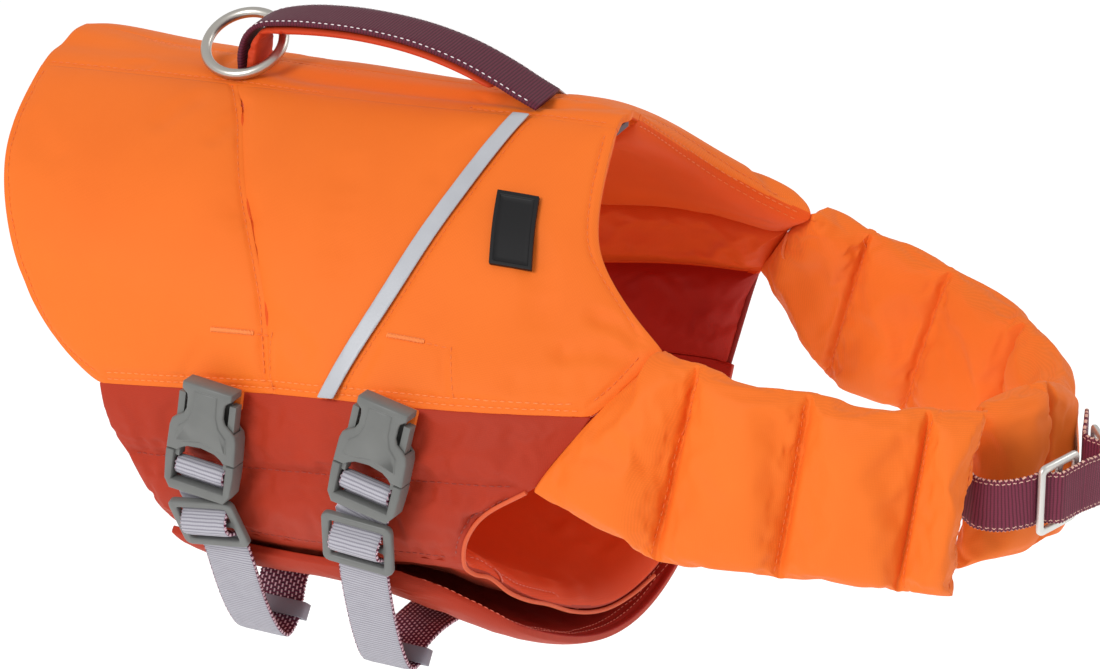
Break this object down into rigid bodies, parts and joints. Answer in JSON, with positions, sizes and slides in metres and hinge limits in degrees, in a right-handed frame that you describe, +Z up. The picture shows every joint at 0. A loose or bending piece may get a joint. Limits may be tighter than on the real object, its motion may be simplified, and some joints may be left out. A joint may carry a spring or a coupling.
{
  "type": "dog life jacket",
  "caption": "Padded dog life jacket in its worn form: hollow saddle, quilted chest collar, carry handle with a lead ring, and buckled belly straps.",
  "frame": {"origin": "on the inside of the spine panel, half way along the back, where the dog's back carries the jacket", "axes": "+X towards the dog's head, +Y towards the dog's left, +Z up"},
  "size_m": [0.4279, 0.2309, 0.2446],
  "materials": {
    "orange_nylon": "matt woven nylon, padded with foam",
    "rust_nylon": "matt woven nylon, quilted",
    "burgundy_webbing": "ribbed webbing with a flecked edge",
    "grey_webbing": "ribbed webbing",
    "reflective_tape": "smooth retroreflective tape",
    "rubber_patch": "satin moulded rubber with a raised rim",
    "buckle_plastic": "fine moulded grain",
    "steel": "satin welded wire",
    "satin_metal": "satin die-cast"
  },
  "bodies": {
    "jacket": {"right_side_rear": "orange_nylon", "right_side_middle": "orange_nylon", "right_side_front": "orange_nylon", "left_side_rear": "orange_nylon", "left_side_middle": "orange_nylon", "left_side_front": "orange_nylon", "spine_panel": "orange_nylon", "right_lower_panel": "rust_nylon", "left_lower_panel": "rust_nylon", "inner_belly": "rust_nylon", "outer_belly": "rust_nylon", "right_collar": "orange_nylon", "left_collar": "orange_nylon", "right_strip": "reflective_tape", "left_strip": "reflective_tape", "patch": "rubber_patch", "handle_strap": "burgundy_webbing", "handle_pad": "rust_nylon", "rear_buckle_sleeve": "buckle_plastic", "rear_buckle_frame": "buckle_plastic", "rear_glide": "buckle_plastic", "rear_belly_strap": "grey_webbing", "rear_keeper": "grey_webbing", "rear_buckle_tab": "orange_nylon", "front_buckle_sleeve": "buckle_plastic", "front_buckle_frame": "buckle_plastic", "front_glide": "buckle_plastic", "front_belly_strap": "grey_webbing", "front_keeper": "grey_webbing", "front_buckle_tab": "orange_nylon", "collar_slider": "satin_metal", "collar_loop": "satin_metal", "collar_strap": "burgundy_webbing"},
    "ring": {"ring": "steel"}
  },
  "joints": [
    {"name": "ring_rock", "type": "hinge", "parent": "jacket", "child": "ring", "pos_m": [-0.0423, 0, 0.0113], "axis": [1, 0, 0], "range_deg": [-60, 0]}
  ]
}
